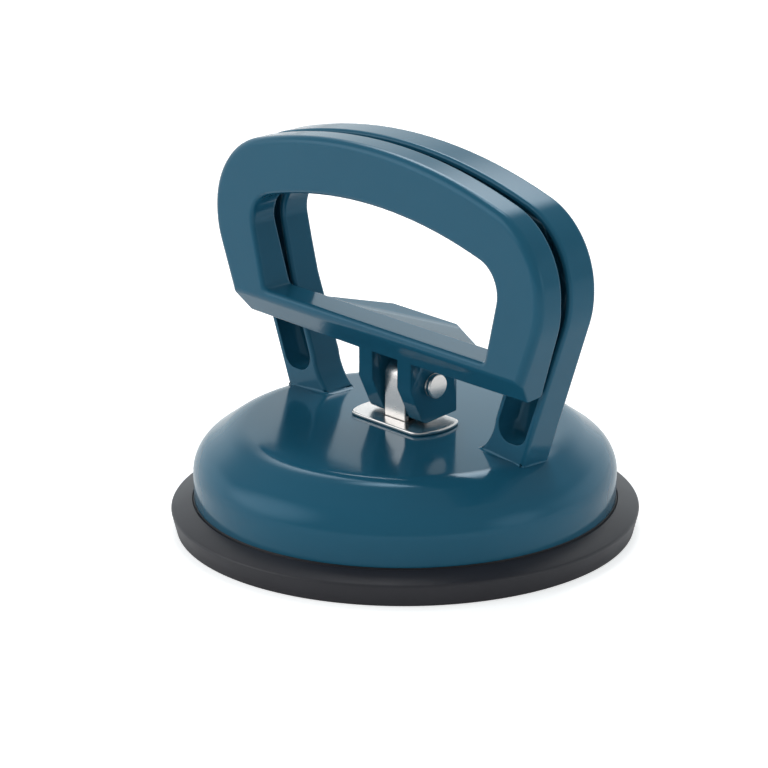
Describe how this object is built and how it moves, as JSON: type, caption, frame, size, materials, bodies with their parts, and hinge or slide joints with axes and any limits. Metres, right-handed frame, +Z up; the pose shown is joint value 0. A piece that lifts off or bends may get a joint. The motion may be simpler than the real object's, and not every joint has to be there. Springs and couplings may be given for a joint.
{
  "type": "floor tile suction lifter",
  "caption": "Single-cup suction lifter for tiles and glass: a rubber pad under a cast dome with a loop handle, worked by a cam lever.",
  "frame": {"origin": "middle of the rubber pad's foot, on the surface that the pad rests on", "axes": "+Z up out of the pad, +X along the grip, +Y from the lever to the fixed handle"},
  "size_m": [0.1192, 0.1184, 0.1003],
  "materials": {
    "painted_casting": "high-gloss blue-green enamel on a die casting",
    "pad_rubber": "smooth moulded dark grey rubber, satin",
    "bright_steel": "polished nickel-plated steel",
    "plain_steel": "zinc-plated steel"
  },
  "bodies": {
    "housing": {"dome_housing": "painted_casting", "wear_plate": "bright_steel", "rubber_pad": "pad_rubber", "return_spring": "plain_steel"},
    "strap": {"pull_strap": "bright_steel", "core_plate": "plain_steel", "front_rivet": "plain_steel", "rear_rivet": "plain_steel", "pivot_pin": "bright_steel", "pin_clip": "plain_steel"},
    "lever": {"lever_handle": "painted_casting"}
  },
  "joints": [
    {"name": "pad_lift", "type": "slide", "parent": "housing", "child": "strap", "axis": [0, 0, 1], "range_m": [-0.00099, 0.00006], "deforming": ["rubber_pad", "return_spring"]},
    {"name": "lever_hinge", "type": "hinge", "parent": "strap", "child": "lever", "pos_m": [0, 0.0005, 0.039], "axis": [1, 0, 0], "range_deg": [-1.5, 60]}
  ],
  "couplings": [
    {"joint": "pad_lift", "follows": "lever_hinge", "m_per_rad": -0.0009}
  ]
}
